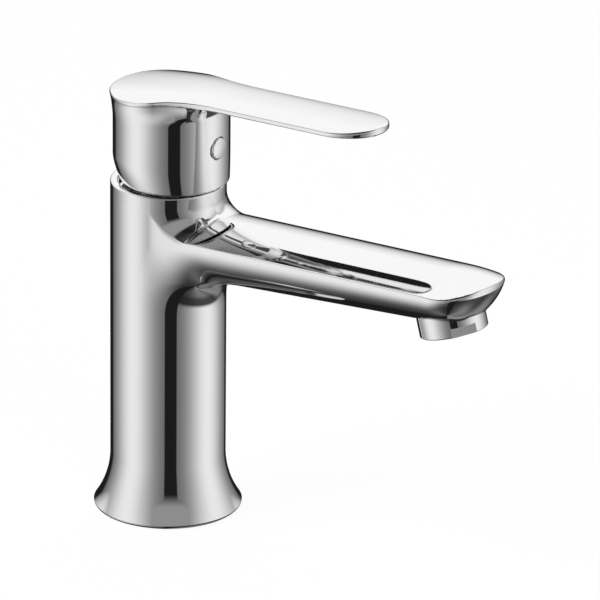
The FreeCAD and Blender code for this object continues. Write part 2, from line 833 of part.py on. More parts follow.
def make_aerator_washer():
    return turned("aerator_washer", [
        ("washer_inner_radius", "aerator_thread_top"),
        ("aerator_thread_radius", "aerator_thread_top"),
        ("aerator_thread_radius", "aerator_thread_top + washer_height"),
        ("washer_inner_radius", "aerator_thread_top + washer_height"),
    ])


def make_aerator_insert():
    wall, floor = "insert_radius - insert_wall", "insert_bottom + insert_floor"
    made = turned("aerator_insert", [
        ("0", "insert_bottom"),
        ("insert_radius", "insert_bottom"),
        ("insert_radius", "aerator_thread_top"),
        (wall, "aerator_thread_top"),
        (wall, floor),
        ("0", floor),
    ])
    bore(made, "insert_hole_radius", floor, "insert_floor", (("insert_hole_ring", "0"),))
    repeat(made, 12)
    return made


def make_aerator_screen():
    made = new_body("aerator_screen")
    drawn = circle(sketch_on(made, "XY_Plane", z="aerator_lip"), "insert_radius")
    feature(made, "Pad", drawn, Length="insert_bottom - aerator_lip")
    for ring in (1, 2, 3):
        spots = ((f"screen_hole_pitch * {ring}", "0"),)
        bore(made, "screen_hole_radius", "insert_bottom", "insert_bottom - aerator_lip", spots)
        repeat(made, 6 * ring)
    return made


pieces = [
    make_faucet_body(),
    make_base_seal(),
    make_cartridge_housing(),
    make_cartridge_base(),
    ported_plate("base_gasket", "gasket_radius", "chamber_floor", "gasket_height"),
    ported_plate("disc_gasket", "gasket_radius", "base_top - gasket_height", "gasket_height"),
    ported_plate("fixed_ceramic_disc", "fixed_disc_radius", "base_top", "ceramic_height"),
    make_moving_ceramic_disc(),
    make_disc_carrier(),
    make_lever_turret(),
    make_turret_seal(),
    make_stem_pin(),
    make_retaining_nut(),
    make_temperature_stop_ring(),
    make_lever_stem(),
    make_lever_handle(),
    make_grub_screw(),
    make_index_plug(),
]
leaned = [make_aerator_housing(), make_aerator_washer(), make_aerator_insert(), make_aerator_screen()]
for piece in leaned:
    aerator_place(piece)
doc.recompute()

for thing in doc.Objects:
    if "Invalid" in thing.State or "Error" in thing.State:
        raise RuntimeError(f"{thing.Label}: {thing.getStatusString()}")
os.makedirs("parts", exist_ok=True)
for piece in pieces + leaned:
    if piece.Shape.isNull() or not piece.Shape.isValid():
        raise RuntimeError(piece.Label)
    piece.Shape.exportStep(f"parts/{piece.Label}.step")
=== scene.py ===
import json
import math
import bmesh
import bpy
import numpy as np
from mathutils import Matrix, Vector


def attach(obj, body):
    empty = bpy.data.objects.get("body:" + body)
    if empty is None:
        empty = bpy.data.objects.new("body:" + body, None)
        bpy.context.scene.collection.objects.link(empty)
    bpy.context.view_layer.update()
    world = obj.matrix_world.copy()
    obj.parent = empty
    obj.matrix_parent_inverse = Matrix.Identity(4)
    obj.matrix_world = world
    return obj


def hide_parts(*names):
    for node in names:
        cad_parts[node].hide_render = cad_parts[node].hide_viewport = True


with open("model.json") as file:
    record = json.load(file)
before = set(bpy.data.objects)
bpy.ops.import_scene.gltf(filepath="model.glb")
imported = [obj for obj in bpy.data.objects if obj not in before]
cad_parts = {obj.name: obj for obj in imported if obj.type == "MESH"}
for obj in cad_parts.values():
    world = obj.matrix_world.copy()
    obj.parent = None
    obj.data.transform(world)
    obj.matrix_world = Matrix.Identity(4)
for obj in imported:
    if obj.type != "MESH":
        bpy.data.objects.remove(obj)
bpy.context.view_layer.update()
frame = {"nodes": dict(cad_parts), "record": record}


# Shader values and nodes

def feed(tree, slot, item):
    """Link a value to a socket, or set the socket to a constant."""
    if isinstance(item, Value):
        tree.links.new(item.socket, slot)
    else:
        slot.default_value = item


class Value:
    """A number, colour or vector socket of a node tree; arithmetic on numbers adds Math nodes."""

    def __init__(self, tree, socket):
        self.tree = tree
        self.socket = socket

    def math(self, operation, *others):
        made = self.tree.nodes.new("ShaderNodeMath")
        made.operation = operation
        for slot, item in zip(made.inputs, (self, *others)):
            feed(self.tree, slot, item)
        return Value(self.tree, made.outputs[0])

    def __add__(self, other):
        return self.math("ADD", other)

    __radd__ = __add__

    def __sub__(self, other):
        return self.math("SUBTRACT", other)

    def __rsub__(self, other):
        return (self * -1).math("ADD", other)

    def __mul__(self, other):
        return self.math("MULTIPLY", other)

    __rmul__ = __mul__

    def __truediv__(self, other):
        return self.math("DIVIDE", other)

    def __abs__(self):
        return self.math("ABSOLUTE")

    def between(self, low, high, least=0.0):
        """Smooth rise from the least value at low to 1 at high; low may be the larger one."""
        part = ((self - low) / (high - low)).math("MAXIMUM", 0).math("MINIMUM", 1)
        return least + (1 - least) * (part * part * (3 - 2 * part))

    def bell(self, centre, width):
        """Bell curve with its peak of 1 at the centre."""
        away = (self - centre) / width
        return (away * away * -1).math("EXPONENT")


class Nodes:
    """Node tree of a material or of the world."""

    def __init__(self, owner):
        owner.use_nodes = True
        self.tree = owner.node_tree
        self.tree.nodes.clear()

    def add(self, kind, settings=None, sockets=None, out=0):
        """Add a node; returns the value of one output, or of several where out is a tuple."""
        made = self.tree.nodes.new("ShaderNode" + kind)
        for name, item in (settings or {}).items():
            setattr(made, name, item)
        for name, item in (sockets or {}).items():
            feed(self.tree, made.inputs[name], item)
        if isinstance(out, tuple):
            return tuple(Value(self.tree, made.outputs[name]) for name in out)
        return Value(self.tree, made.outputs[out])

    def blend(self, part, first, second):
        """Colour between two colours."""
        sockets = {0: part, 6: (*first, 1), 7: (*second, 1)}
        return self.add("Mix", {"data_type": "RGBA"}, sockets, out=2)

    def end(self, shader, kind):
        """Close the tree with its output node."""
        self.add(kind, None, {"Surface": shader}, out=())


# Camera at the photograph's angle, in metres

AZIMUTH, ELEVATION, ROLL = math.radians(36), math.radians(21.882), math.radians(0.486)
AIM, DISTANCE, VIEW_DEPTH = Vector((0.061656, 0, 0.097741)), 3.0, 20
FOCAL_PIXELS, PICTURE_PIXELS, SENSOR = 8025.085, 600, 36


def make_camera():
    level = math.cos(ELEVATION)
    back = Vector((math.sin(AZIMUTH) * level, -math.cos(AZIMUTH) * level, math.sin(ELEVATION)))
    flat_right = Vector((math.cos(AZIMUTH), math.sin(AZIMUTH), 0))
    steep_up = back.cross(flat_right)
    right = flat_right * math.cos(ROLL) + steep_up * math.sin(ROLL)
    up = steep_up * math.cos(ROLL) - flat_right * math.sin(ROLL)
    data = bpy.data.cameras.new("camera")
    data.sensor_width = SENSOR
    data.lens = FOCAL_PIXELS / PICTURE_PIXELS * SENSOR
    data.clip_end = VIEW_DEPTH
    camera = bpy.data.objects.new("camera", data)
    turned = Matrix((right, up, back)).transposed().to_4x4()
    camera.matrix_world = Matrix.Translation(AIM + back * DISTANCE) @ turned
    bpy.context.scene.collection.objects.link(camera)
    bpy.context.scene.camera = camera


# Studio that the chrome mirrors, in degrees. A turn counts from the camera to its right and a rise from level
# up; panels and sky count from the middle of the gap to both sides. A pair of angles is where a light is at
# its least and where it is full.

GAP_TURN, GAP_EDGE = 6, (11, 13)
PANEL_TURN, PANEL_WIDTH, PANEL_EDGE, PANEL_TOP = 80, 40, (152, 140), (54, 45)
PANEL_LEAST, PANEL_ADDED = 0.1, 0.76
LEFT_FOOT, LEFT_FOOT_LEAST = (-62, -26), 0.12
RIGHT_FOOT, RIGHT_FOOT_LEAST, RIGHT_START = (-37, -29), 0.06, (2, 10)
RIGHT_BASE, RIGHT_BASE_ADDED = (-46, -66), 0.16
SKY_FOOT, SKY_RISE, SKY_LIGHT = -6, 15, 1.18
SKY_EDGE, SKY_TOP = (98, 132), (78, 66)
OVERHEAD_LEAST = 0.05
LOW_LIGHT, LOW_RISE, LOW_TURN = 0.2, (-30, -45), (112, 140)
BAND_LIGHT, BAND_FOOT, BAND_TOP = 0.28, (6, 24), (58, 48)
ROOM_LIGHT = 0.012


def panel_light(turn, off, rise):
    """Two tall soft panels beside the camera with a dark gap between them."""
    left_foot = rise.between(*LEFT_FOOT, LEFT_FOOT_LEAST)
    right_foot = rise.between(*RIGHT_FOOT, RIGHT_FOOT_LEAST)
    right_foot = right_foot + RIGHT_BASE_ADDED * rise.between(*RIGHT_BASE)
    foot = left_foot + (right_foot - left_foot) * turn.between(*RIGHT_START)
    light = PANEL_LEAST + PANEL_ADDED * off.bell(PANEL_TURN, PANEL_WIDTH)
    light = light * foot * rise.between(*PANEL_TOP, OVERHEAD_LEAST)
    return light * off.between(*GAP_EDGE) * off.between(*PANEL_EDGE)


def sky_light(off, rise):
    """Pale sky behind the faucet, dark overhead."""
    height = (rise - SKY_FOOT).math("MAXIMUM", 0) / SKY_RISE
    light = (SKY_LIGHT - SKY_LIGHT * (height * -1).math("EXPONENT")).math("MINIMUM", 1)
    return light * rise.between(*SKY_TOP, OVERHEAD_LEAST) * off.between(*SKY_EDGE)


def make_studio():
    """World with the panels, the sky, a low light at the rear right and a faint band all round."""
    world = bpy.data.worlds.new("studio")
    bpy.context.scene.world = world
    made = Nodes(world)
    direction = made.add("TexCoord", out="Generated")
    x, y, z = made.add("SeparateXYZ", None, {0: direction}, out=("X", "Y", "Z"))
    ahead = x * math.sin(AZIMUTH) - y * math.cos(AZIMUTH)
    aside = x * math.cos(AZIMUTH) + y * math.sin(AZIMUTH)
    turn = aside.math("ARCTAN2", ahead).math("DEGREES")
    off = abs(turn - GAP_TURN)
    rise = z.math("ARCSINE").math("DEGREES")
    low = LOW_LIGHT * rise.between(*LOW_RISE) * turn.between(*LOW_TURN)
    band = BAND_LIGHT * rise.between(*BAND_FOOT) * rise.between(*BAND_TOP)
    light = panel_light(turn, off, rise).math("MAXIMUM", sky_light(off, rise)).math("MAXIMUM", band)
    light = light + low + ROOM_LIGHT
    seen = made.add("LightPath", out="Is Camera Ray")
    level = light * (1 - seen) + seen
    colour = made.add("CombineColor", None, {0: level, 1: level, 2: level})
    made.end(made.add("Background", None, {"Color": colour, "Strength": 1.0}), "OutputWorld")


# Floor and lamps, in metres and watts

FLOOR_HALF, FLOOR_DROP, FLOOR_GREY = 4, 0.0002, 0.86
FLOOR_LIGHT, FLOOR_LIGHT_PART = 1.03, 0.9
LAMPS = (("key", (-0.9, -1.2, 1.6), 18), ("fill", (1.6, -0.7, 1.3), 10))
LAMP_SIZE, LAMP_AIM = 1.2, Vector((0.05, 0, 0.1))


def make_floor():
    """White floor that keeps the shadow; mirror rays pass it and meet the studio."""
    mesh = bpy.data.meshes.new("floor")
    corners = [(x * FLOOR_HALF, y * FLOOR_HALF, 0) for x, y in ((-1, -1), (1, -1), (1, 1), (-1, 1))]
    mesh.from_pydata(corners, [], [(0, 1, 2, 3)])
    floor = bpy.data.objects.new("floor", mesh)
    floor.location.z = -FLOOR_DROP
    floor.visible_glossy = False
    bpy.context.scene.collection.objects.link(floor)
    finish = bpy.data.materials.new("floor_paint")
    made = Nodes(finish)
    pale = made.add("BsdfDiffuse", None, {"Color": (FLOOR_GREY, FLOOR_GREY, FLOOR_GREY, 1)})
    plain = made.add("Emission", None, {"Color": (1, 1, 1, 1), "Strength": FLOOR_LIGHT})
    seen = made.add("LightPath", out="Is Camera Ray")
    made.end(made.add("MixShader", None, {0: seen * FLOOR_LIGHT_PART, 1: pale, 2: plain}), "OutputMaterial")
    mesh.materials.append(finish)


def make_lamps():
    for name, place, power in LAMPS:
        data = bpy.data.lights.new(name, "AREA")
        data.size = LAMP_SIZE
        data.energy = power
        lamp = bpy.data.objects.new(name, data)
        lamp.location = place
        lamp.rotation_euler = (LAMP_AIM - Vector(place)).to_track_quat("-Z", "Y").to_euler()
        lamp.visible_glossy = False
        bpy.context.scene.collection.objects.link(lamp)


# Finishes

METAL_CLOUD, METAL_MARKS = 60.0, 900.0
PLAIN_CLOUD, GRAIN_HEIGHT, GRAIN_ROUGHNESS = 90.0, 0.0002, 0.12
PLASTIC_GRAIN, PLASTIC_LIFT = 2500.0, 0.2


def metal_finish(name, colour, tint, rough, spread):
    """Plated or bare metal with faint clouding and fine wipe marks."""
    finish = bpy.data.materials.new(name)
    made = Nodes(finish)
    place = made.add("TexCoord", out="Object")
    cloud = made.add("TexNoise", None, {"Vector": place, "Scale": METAL_CLOUD, "Detail": 3.0})
    marks = made.add("TexNoise", None, {"Vector": place, "Scale": METAL_MARKS, "Detail": 2.0})
    shade = made.blend(cloud, colour, tint)
    roughness = rough + spread * cloud * marks
    sockets = {"Base Color": shade, "Metallic": 1.0, "Roughness": roughness}
    made.end(made.add("BsdfPrincipled", None, sockets), "OutputMaterial")
    return finish


def plain_finish(name, colour, tint, rough, grain=PLASTIC_GRAIN, lift=PLASTIC_LIFT):
    """Moulded plastic, rubber or ceramic with a fine grain."""
    finish = bpy.data.materials.new(name)
    made = Nodes(finish)
    place = made.add("TexCoord", out="Object")
    cloud = made.add("TexNoise", None, {"Vector": place, "Scale": PLAIN_CLOUD, "Detail": 3.0})
    fine = made.add("TexNoise", None, {"Vector": place, "Scale": grain, "Detail": 4.0})
    shade = made.blend(cloud, colour, tint)
    relief = made.add("Bump", None, {"Strength": lift, "Distance": GRAIN_HEIGHT, "Height": fine})
    sockets = {"Base Color": shade, "Roughness": rough + GRAIN_ROUGHNESS * fine, "Normal": relief}
    made.end(made.add("BsdfPrincipled", None, sockets), "OutputMaterial")
    return finish


FINISHES = {
    "chrome": metal_finish("polished_chrome", (0.93, 0.93, 0.925), (0.9, 0.905, 0.91), 0.03, 0.05),
    # The brass is coloured far darker than bare brass, as painted shade for the nut seen down in the gap
    # under the lever.
    "brass": metal_finish("brass_with_painted_shade", (0.24, 0.18, 0.1), (0.2, 0.15, 0.08), 0.3, 0.3),
    "steel": metal_finish("bare_steel", (0.6, 0.6, 0.6), (0.5, 0.5, 0.51), 0.2, 0.3),
    "shell_plastic": plain_finish("shell_plastic", (0.8, 0.8, 0.77), (0.74, 0.74, 0.71), 0.4),
    "guide_plastic": plain_finish("guide_plastic", (0.88, 0.88, 0.86), (0.82, 0.82, 0.8), 0.36),
    "stop_plastic": plain_finish("stop_plastic", (0.08, 0.08, 0.085), (0.06, 0.06, 0.065), 0.42),
    "aerator_plastic": plain_finish("aerator_plastic", (0.62, 0.63, 0.65), (0.54, 0.55, 0.57), 0.35),
    "ceramic": plain_finish("lapped_ceramic", (0.9, 0.89, 0.86), (0.85, 0.84, 0.81), 0.12, 4000.0, 0.05),
    "rubber": plain_finish("black_rubber", (0.03, 0.03, 0.03), (0.045, 0.045, 0.045), 0.6, 1500.0, 0.35),
}


# Solids as signed distances in millimetres, negative inside

def share(value, low, high):
    """How far a value has come from low, at 0, to high, at 1."""
    return np.clip((value - low) / (high - low), 0, 1)


def ease(value, low, high):
    """Like share, with a soft start and end."""
    part = share(value, low, high)
    return part * part * (3 - 2 * part)


def round_inside(first, second, radius):
    """Common part of two solids with a round on the edge between them."""
    over = np.hypot(np.maximum(radius + first, 0), np.maximum(radius + second, 0))
    return np.minimum(-radius, np.maximum(first, second)) + over


def round_outside(first, second, radius):
    """Two solids joined with a hollow blend between them."""
    under = np.hypot(np.maximum(radius - first, 0), np.maximum(radius - second, 0))
    return np.maximum(radius, np.minimum(first, second)) - under


def soft_outside(first, second, radius):
    """Like round_outside, with a blend that fades out more softly at its ends."""
    under = np.cbrt(np.maximum(radius - first, 0) ** 3 + np.maximum(radius - second, 0) ** 3)
    return np.maximum(radius, np.minimum(first, second)) - under


def tongue(x, side, half_width, corner, end, reach):
    """Outline with straight flanks, rounded corners and a rounded end."""
    lean = (half_width - corner) / (end - corner)
    level = np.sqrt(1 - lean * lean)
    middle = reach - end
    corner_x = middle + (end - corner) * level
    flank = side - half_width
    turn = np.hypot(x - corner_x, side - half_width + corner) - corner
    nose = np.hypot(x - middle, side) - end
    ahead = np.where(side * level < (x - middle) * lean, nose, turn)
    return np.where(x > corner_x, ahead, flank)


# Column and spout, in millimetres

COLUMN = 22.0
DECK, DECK_TILT = 115.5, math.tan(math.radians(2.58))
HALF_WIDTH, CROWN_RADIUS, CROWN_LIMIT = 19.4, 37.0, 0.9
REACH, CORNER, END = 148.8, 15.0, 30.0
NOSE_START, NOSE_POWER, NOSE_FALL = 126.0, 2.4, 0.78
HULL, HULL_TAPER, KEEL_SHARE, KEEL_ROUND = 20.1, 0.0437, 0.97, 1.5
END_LEAN, END_RAKE, END_START = 4.0, 8.0, 70.0
TOP_BLEND, TOP_BLEND_SIDE = 4.0, 6.0
ROOT_BLEND, ROOT_BLEND_SIDE, ROOT_START, ROOT_FULL = 23.0, 25.0, -4.0, 4.0
CREASE_ROUND, CREASE_FULL = 0.8, 2.0
SEAT_X, SEAT_Z, SEAT_TILT = 132.1, 102.8, math.radians(15)
SEAT_RADIUS, SEAT_DEPTH, SEAT_ROUND = 13.1, 8.4, 0.3
OUTLET_RADIUS, OUTLET_DEPTH = 12.0, 13.2
TINY = 1e-6


def deck_skin(x, side, drop):
    """Deck with a crown across it that also falls towards the tip."""
    nose = np.maximum(x - NOSE_START, 0) / (REACH - NOSE_START)
    across = (side / HALF_WIDTH) ** NOSE_POWER + (NOSE_FALL * nose) ** NOSE_POWER
    across = np.clip(HALF_WIDTH * across ** (1 / NOSE_POWER), 0, CROWN_LIMIT * CROWN_RADIUS)
    fall = np.sqrt(CROWN_RADIUS ** 2 - across ** 2)
    edge = math.sqrt(CROWN_RADIUS ** 2 - HALF_WIDTH ** 2)
    return (edge - drop - fall) * fall / CROWN_RADIUS


def hull_skin(x, side, drop):
    """Boat-shaped underside of the spout, and how far its wall faces sideways."""
    depth = HULL - HULL_TAPER * x
    part = np.clip(drop / depth, 0, KEEL_SHARE)
    full = np.sqrt(1 - part * part)
    tip = REACH - END_LEAN * part - END_RAKE * (1 - full)
    plan = tongue(x, side, HALF_WIDTH * full, CORNER * full, END * full, tip)
    steep = np.sqrt(1 + (HALF_WIDTH * part / (full * depth)) ** 2)
    low = np.maximum(drop, 0)
    oval = np.sqrt((side / HALF_WIDTH) ** 2 + (low / depth) ** 2)
    lead = np.sqrt((side / HALF_WIDTH ** 2) ** 2 + (low / depth ** 2) ** 2) + TINY
    flank = np.where(x < END_START, oval * (oval - 1) / lead, plan / steep)
    sideways = side / HALF_WIDTH ** 2 / lead
    return round_inside(flank, drop - KEEL_SHARE * depth, KEEL_ROUND), sideways


def aerator_seat(x, y, z):
    """Leaning stepped bore that takes the aerator."""
    along = (z - SEAT_Z) * math.cos(SEAT_TILT) - (x - SEAT_X) * math.sin(SEAT_TILT)
    away = np.sqrt(np.maximum((x - SEAT_X) ** 2 + y ** 2 + (z - SEAT_Z) ** 2 - along ** 2, 0))
    seat = np.maximum(away - SEAT_RADIUS, along - SEAT_DEPTH)
    outlet = np.maximum(away - OUTLET_RADIUS, along - OUTLET_DEPTH)
    return np.minimum(seat, outlet)


def body_skin(point):
    """Outside of the column and spout, with the aerator's seat."""
    x, y, z = point[..., 0], point[..., 1], point[..., 2]
    side = np.abs(y)
    radius = np.hypot(x, y)
    column = radius - COLUMN
    facing = side / np.maximum(radius, 1)
    drop = DECK + DECK_TILT * x - z
    deck = deck_skin(x, side, drop)
    hull, sideways = hull_skin(x, side, drop)
    top = round_outside(column, np.maximum(deck, -x), TOP_BLEND + TOP_BLEND_SIDE * facing)
    root = (ROOT_BLEND + ROOT_BLEND_SIDE * facing ** 3) * (1 - facing * sideways)
    under = soft_outside(column, np.maximum(hull, -x), root * share(x, ROOT_START, ROOT_FULL))
    body = round_inside(top, under, CREASE_ROUND * share(column, 0, CREASE_FULL))
    return round_inside(body, -aerator_seat(x, y, z), SEAT_ROUND)


# Lever, in millimetres: cap and blade on one outline, with the hub below them

CAP_X, CAP_RADIUS, CAP_CROWN = -1.7, 21.2, 2.7
BLADE_ROOT, BLADE_NECK, NECK_RADIUS = 6.97, 31.5, 60.0
BLADE_WIDTH, BLADE_CORNER, BLADE_END, BLADE_REACH = 14.1, 21.0, 12.85, 98.7
BLADE_CROWN, BLADE_UNDER = 1.15, 168.55
TOP, TOP_TILT, TOP_ROUND, BEND_X, BEND_RADIUS = 172.27, math.radians(2.29), 1.2, 20.0, 320.0
HUB_X, HUB_RADIUS, HUB_BOTTOM, HUB_ROUND, HUB_ROUND_REAR = 1.4, 22.15, 133.2, 0.6, 0.6
RELIEF, RELIEF_TOP, RELIEF_POWER, RELIEF_REAR_POWER = 3.5, 143.2, 1.6, 1.25
SWELL_START, SWELL_START_REAR, SWELL_STOP, SWELL_STOP_REAR = 162.5, 5.5, 168.0, 2.0
FLARE_START, FLARE_REAR, FLARE_INSET, FLARE_LIMIT = 165.8, 3.0, 0.8, 1.0
FILLET_LEAST, FILLET_ADDED, FILLET_INSET = 0.4, 3.6, (-1, -5)
TRIM_SLACK, TRIM_HEIGHT = 8.0, (167, 163)
EDGE_LEAST, EDGE_ADDED, EDGE_X = 0.05, 0.65, (24, 32)
BORE_X, BORE_RADIUS, BORE_TOP, BORE_ROUND = 1.6, 17.4, 161.2, 0.2
BOSS_HALF, BOSS_BOTTOM = 6.5, 146.6
STEM_HALF, STEM_TOP = 3.55, 161.05
SCREW_RADIUS, SCREW_X = 2.5, 3.5
PLUG_Z, PLUG_RADIUS, PLUG_GAP, PLUG_BACK = 149.5, 4.1, 0.25, 20.5
PLUG_FACE, PLUG_DOME, PLUG_EDGE_X, PLUG_EDGE = 24.4, 0.03, 23.76, 0.3
PLUG_DOME_RINGS, PLUG_EDGE_TURNS = (0.7, 1.4, 2.1, 2.8, 3.4), (1.2, 0.8, 0.4, 0)


def lever_plan(x, side):
    """Outline of cap, neck and blade from above."""
    cap = np.hypot(x - CAP_X, side) - CAP_RADIUS
    neck = NECK_RADIUS - np.hypot(x - BLADE_NECK, side - BLADE_WIDTH - NECK_RADIUS)
    blade = tongue(x, side, BLADE_WIDTH, BLADE_CORNER, BLADE_END, BLADE_REACH)
    return np.where(x < BLADE_ROOT, cap, np.where(x < BLADE_NECK, neck, blade))


def lever_top(x, side, z):
    """Top that bends down over the cap, crowned across its local width."""
    bend_x = BEND_X + BEND_RADIUS * math.sin(TOP_TILT)
    bend_z = TOP - BEND_RADIUS * math.cos(TOP_TILT)
    bent = bend_z + np.sqrt(BEND_RADIUS ** 2 - (x - bend_x) ** 2)
    run = np.where(x < BEND_X, bent, TOP + (x - BEND_X) * math.tan(TOP_TILT))
    slim = ease(x, BLADE_ROOT, BLADE_NECK)
    spread = (side / (CAP_RADIUS + (BLADE_WIDTH - CAP_RADIUS) * slim)) ** 2
    crown = CAP_CROWN + (BLADE_CROWN - CAP_CROWN) * slim
    return z - run + crown * (spread + spread ** 2) / 2


def hub_skin(x, y, z, plan, over):
    """Straight round hub, relieved low at the back and flared into the cap."""
    ahead = x - HUB_X
    away = np.hypot(ahead, y)
    rear = (1 - ahead / np.maximum(away, 1)) / 2
    low = np.maximum(RELIEF_TOP - z, 0) / (RELIEF_TOP - HUB_BOTTOM)
    swell = ease(z, SWELL_START - SWELL_START_REAR * rear, SWELL_STOP - SWELL_STOP_REAR * rear)
    flare = share(z, FLARE_START - FLARE_REAR * rear, z - over)
    wall = away - HUB_RADIUS + RELIEF * low ** RELIEF_POWER * rear ** RELIEF_REAR_POWER
    wall = wall + swell * np.maximum(plan + FLARE_INSET - wall, -FLARE_LIMIT) - FLARE_INSET * flare ** 2
    return round_inside(wall, HUB_BOTTOM - z, HUB_ROUND + HUB_ROUND_REAR * rear)


def lever_hollow(x, y, z):
    """Bore with a boss left in it, and the holes for stem, screw and plug."""
    side = np.abs(y)
    aside = np.hypot(y, z - PLUG_Z)
    bore = np.maximum(np.hypot(x - BORE_X, y) - BORE_RADIUS, z - BORE_TOP)
    boss = np.maximum(np.maximum(side - BOSS_HALF, -BOSS_HALF - x), BOSS_BOTTOM - z)
    stem = np.maximum(np.maximum(np.abs(x), side) - STEM_HALF, z - STEM_TOP)
    screw = np.maximum(aside - SCREW_RADIUS, SCREW_X - x)
    plug = np.maximum(aside - PLUG_RADIUS - PLUG_GAP, PLUG_BACK - x)
    return np.minimum(np.maximum(bore, -boss), np.minimum(np.minimum(stem, screw), plug))


def lever_skin(point):
    """Lever handle with its bores."""
    x, y, z = point[..., 0], point[..., 1], point[..., 2]
    side = np.abs(y)
    plan = lever_plan(x, side)
    over = lever_top(x, side, z)
    under = BLADE_UNDER + x * math.tan(TOP_TILT) - z
    hub = hub_skin(x, y, z, plan, over)
    solid = round_outside(hub, under, FILLET_LEAST + FILLET_ADDED * share(plan, *FILLET_INSET))
    trim = plan - TRIM_SLACK * share(z, *TRIM_HEIGHT)
    solid = round_inside(solid, trim, EDGE_LEAST + EDGE_ADDED * share(x, *EDGE_X))
    solid = round_inside(solid, over, TOP_ROUND)
    return round_inside(solid, -lever_hollow(x, y, z), BORE_ROUND)


# Skins of solids over a lattice

SLOPE_STEP, LEAST_SLOPE = 0.02, 0.1
PULLS, LONGEST_PULL = 4, 0.5
TILT_START = 24.0


def steps(*stretches):
    """Lattice line from stretches of (start, stop, step)."""
    parts = [np.linspace(a, b, max(2, round((b - a) / s) + 1))[:-1] for a, b, s in stretches]
    return np.concatenate(parts + [[stretches[-1][1]]])


def lattice(xs, half, zs, tilt=0.0):
    """Points on lines that are alike on both sides; beyond the column they climb with the tilt."""
    ys = np.concatenate([-half[::-1], half])
    point = np.stack(np.meshgrid(xs, ys, zs, indexing="ij"), -1)
    point[..., 2] += tilt * np.maximum(point[..., 0] - TILT_START, 0)
    return point


def along(axis, part, others=slice(None)):
    """Index of a part of one axis of a lattice, and of a part of the other two."""
    index = [others] * 3
    index[axis] = part
    return tuple(index)


def cell_corners(axis, cells):
    """Indices of the four lattice edges of each cell along an axis."""
    first, second = (n for n in range(3) if n != axis)
    for first_shift in (0, 1):
        for second_shift in (0, 1):
            index = [slice(None)] * 3
            index[first] = slice(first_shift, cells[first] + first_shift)
            index[second] = slice(second_shift, cells[second] + second_shift)
            yield tuple(index)


def net_faces(axis, number, crossed, solid_first):
    """Faces round the lattice edges along an axis that the skin crosses."""
    second, third = (axis + 1) % 3, (axis + 2) % 3
    where = np.argwhere(crossed[along(axis, slice(None), slice(1, -1))])
    where[:, second] += 1
    where[:, third] += 1
    ring = []
    for back_second, back_third in ((1, 1), (0, 1), (0, 0), (1, 0)):
        cell = where.copy()
        cell[:, second] -= back_second
        cell[:, third] -= back_third
        ring.append(number[tuple(cell.T)])
    ring = np.stack(ring, 1)
    forward = solid_first[tuple(where.T)]
    return np.where(forward[:, None], ring, ring[:, ::-1])


def crossing_net(solid, point):
    """Points and four-sided faces where a signed distance over a lattice changes sign."""
    height = solid(point)
    inside = height < 0
    cells = tuple(n - 1 for n in inside.shape)
    total, hits = np.zeros(cells + (3,)), np.zeros(cells)
    crossings = []
    for axis in range(3):
        low, high = along(axis, slice(None, -1)), along(axis, slice(1, None))
        crossed = inside[low] != inside[high]
        part = height[low] / np.where(crossed, height[low] - height[high], 1)
        spot = point[low] + part[..., None] * (point[high] - point[low])
        spot = np.where(crossed[..., None], spot, 0)
        for corner in cell_corners(axis, cells):
            total += spot[corner]
            hits += crossed[corner]
        crossings.append((crossed, inside[low]))
    used = hits > 0
    number = np.full(cells, -1)
    number[used] = np.arange(used.sum())
    faces = [net_faces(axis, number, *crossing) for axis, crossing in enumerate(crossings)]
    return total[used] / hits[used][:, None], np.concatenate(faces)


def slope_of(solid, point):
    """Slope of a signed distance at each point."""
    parts = []
    for axis in range(3):
        shift = np.zeros(3)
        shift[axis] = SLOPE_STEP
        parts.append((solid(point + shift) - solid(point - shift)) / (2 * SLOPE_STEP))
    return np.stack(parts, -1)


def cast(solid, point):
    """Mesh of a solid's skin over a lattice, and the exact normals of its points."""
    spot, faces = crossing_net(solid, point)
    for _ in range(PULLS):
        slope = slope_of(solid, spot)
        pull = solid(spot) / np.maximum((slope * slope).sum(-1), LEAST_SLOPE)
        spot = spot - np.clip(pull, -LONGEST_PULL, LONGEST_PULL)[:, None] * slope
    slope = slope_of(solid, spot)
    mesh = bmesh.new()
    verts = [mesh.verts.new(place) for place in spot]
    for face in faces:
        mesh.faces.new([verts[n] for n in face])
    return mesh, slope / np.linalg.norm(slope, axis=1)[:, None]


# Turned walls and holes

HOLE_POINTS = 48


def circle_turns(count):
    """Angles of points spaced evenly round a circle."""
    return [2 * math.pi * n / count for n in range(count)]


def ring_edges(mesh, ring):
    """Edges between the neighbours on a ring of points."""
    return [mesh.edges.get((ring[n], ring[n - 1])) for n in range(len(ring))]


def blind_hole(mesh, x, y, radius, low, high):
    """Round hole upwards; returns the edges of its mouth."""
    spots = [(x + radius * math.cos(a), y + radius * math.sin(a)) for a in circle_turns(HOLE_POINTS)]
    mouth = [mesh.verts.new((*spot, low)) for spot in spots]
    roof = [mesh.verts.new((*spot, high)) for spot in spots]
    for n in range(HOLE_POINTS):
        mesh.faces.new((mouth[n], roof[n], roof[n - 1], mouth[n - 1]))
    mesh.faces.new(roof[::-1])
    return ring_edges(mesh, mouth)


def ring_points(edges):
    """Points of a round opening, in order of their angle."""
    ring = {vert for edge in edges for vert in edge.verts}
    return sorted(ring, key=lambda vert: math.atan2(vert.co.y, vert.co.x))


def turn_down(mesh, rim, profile):
    """Turn (radius, height) points from a ring of points on; returns the last ring."""
    angles = [math.atan2(vert.co.y, vert.co.x) for vert in rim]
    last = rim
    for radius, height in profile:
        ring = [mesh.verts.new((radius * math.cos(a), radius * math.sin(a), height)) for a in angles]
        for n in range(len(ring)):
            mesh.faces.new((last[n - 1], ring[n - 1], ring[n], last[n]))
        last = ring
    return last


